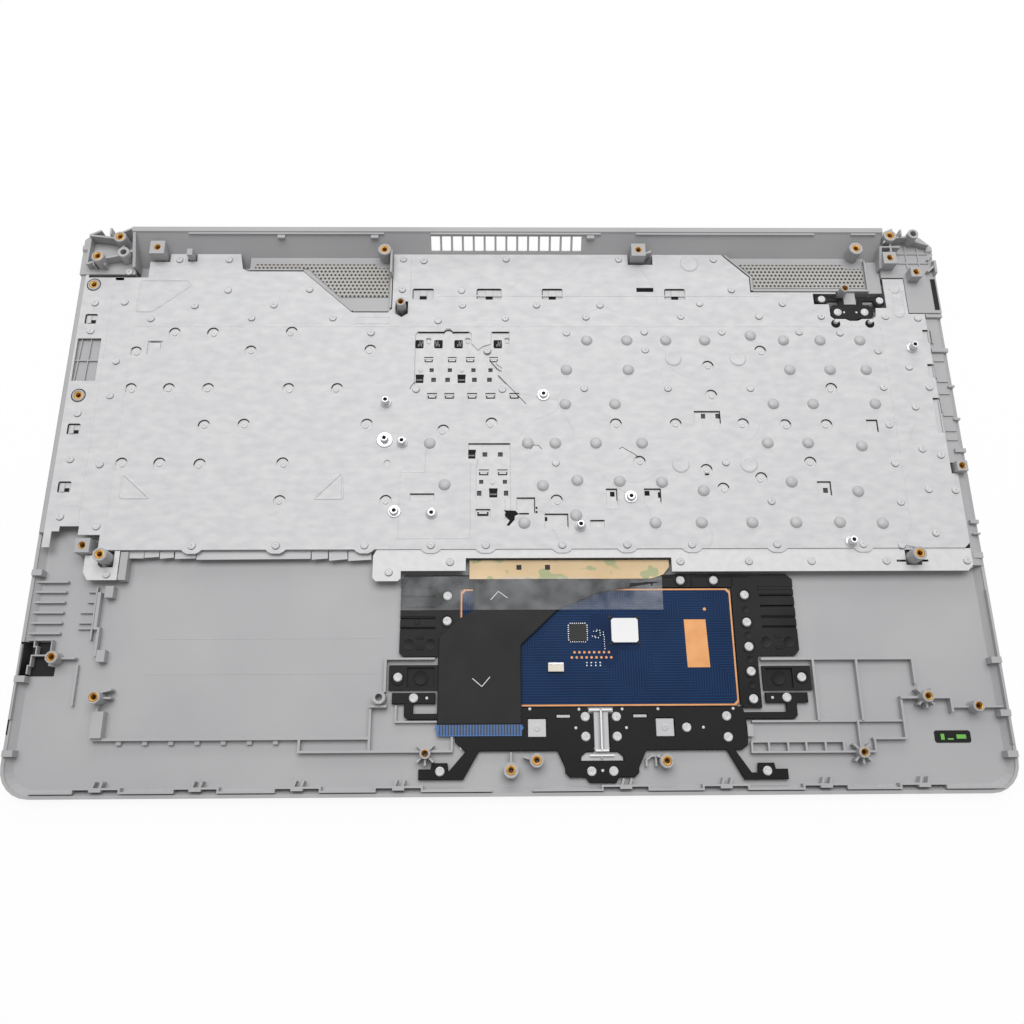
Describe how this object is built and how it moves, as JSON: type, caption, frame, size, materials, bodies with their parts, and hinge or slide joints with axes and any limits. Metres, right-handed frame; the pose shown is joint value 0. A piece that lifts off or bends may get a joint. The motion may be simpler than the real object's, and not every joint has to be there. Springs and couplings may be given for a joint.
{
  "type": "laptop palm rest",
  "caption": "Palm rest and keyboard cover of a large laptop, inside up, with shield sheet, touchpad board, click buttons, screw bosses and cable.",
  "frame": {"origin": "centre of the bounding box, on the outer face of the palm rest", "axes": "+X to the right seen from the front edge, +Y to the rear edge with the hinges, +Z out of the inside of the cover"},
  "size_m": [0.4154, 0.2628, 0.0145],
  "materials": {
    "case": "fine matt, warm silver-grey moulding",
    "case_dark": "black, slightly glossy moulding",
    "keys": "dark grey key caps",
    "shield": "bright pressed sheet",
    "strip": "bright pressed sheet",
    "plate": "pressed sheet",
    "brass": "knurled, turned",
    "steel": "turned steel",
    "heads": "melted plastic heads",
    "board": "blue solder mask",
    "pad_face": "smooth film",
    "button": "same as the case",
    "film_black": "black film",
    "ribbon": "dark cable jacket",
    "ribbon_end": "blue stiffener with bare contacts",
    "tape": "clear film",
    "liner": "tan paper with pale print",
    "foam": "white foam",
    "chip": "moulded package",
    "connector": "cream housing",
    "rubber": "black",
    "label": "black printed film",
    "mesh": "fine acoustic mesh"
  },
  "bodies": {
    "cover": {"top_case": "case", "brass_inserts": "brass", "key_set": "keys", "keyboard_base_plate": "plate", "keyboard_shield": "shield", "stake_heads": "heads", "steel_standoffs": "steel", "front_strip": "strip", "corner_plate": "strip", "touchpad_surface": "pad_face", "touchpad_board": "board", "touchpad_bracket": "case_dark", "side_dampers": "rubber", "button_bracket": "case_dark", "power_bracket": "case_dark", "ribbon_cable": "ribbon", "ribbon_contact_end": "ribbon_end", "clear_tape": "tape", "adhesive_liner": "liner", "foam_pad": "foam", "controller_chip": "chip", "board_connector": "connector", "insulator_film": "film_black", "left_edge_film": "film_black", "right_edge_film": "film_black", "code_label": "label", "left_speaker_mesh": "mesh", "right_speaker_mesh": "mesh"},
    "left_click": {"left_click_button": "button"},
    "right_click": {"right_click_button": "button"},
    "power": {"power_button": "button"}
  },
  "joints": [
    {"name": "left_click_press", "type": "slide", "parent": "cover", "child": "left_click", "axis": [0, 0, 1], "range_m": [0, 0.0005], "stiffness_N_per_m": 1200, "deforming": ["button_bracket"]},
    {"name": "right_click_press", "type": "slide", "parent": "cover", "child": "right_click", "axis": [0, 0, 1], "range_m": [0, 0.0005], "stiffness_N_per_m": 1200, "deforming": ["button_bracket"]},
    {"name": "power_press", "type": "slide", "parent": "cover", "child": "power", "axis": [0, 0, 1], "range_m": [0, 0.0005], "stiffness_N_per_m": 1500, "deforming": ["power_bracket"]}
  ]
}
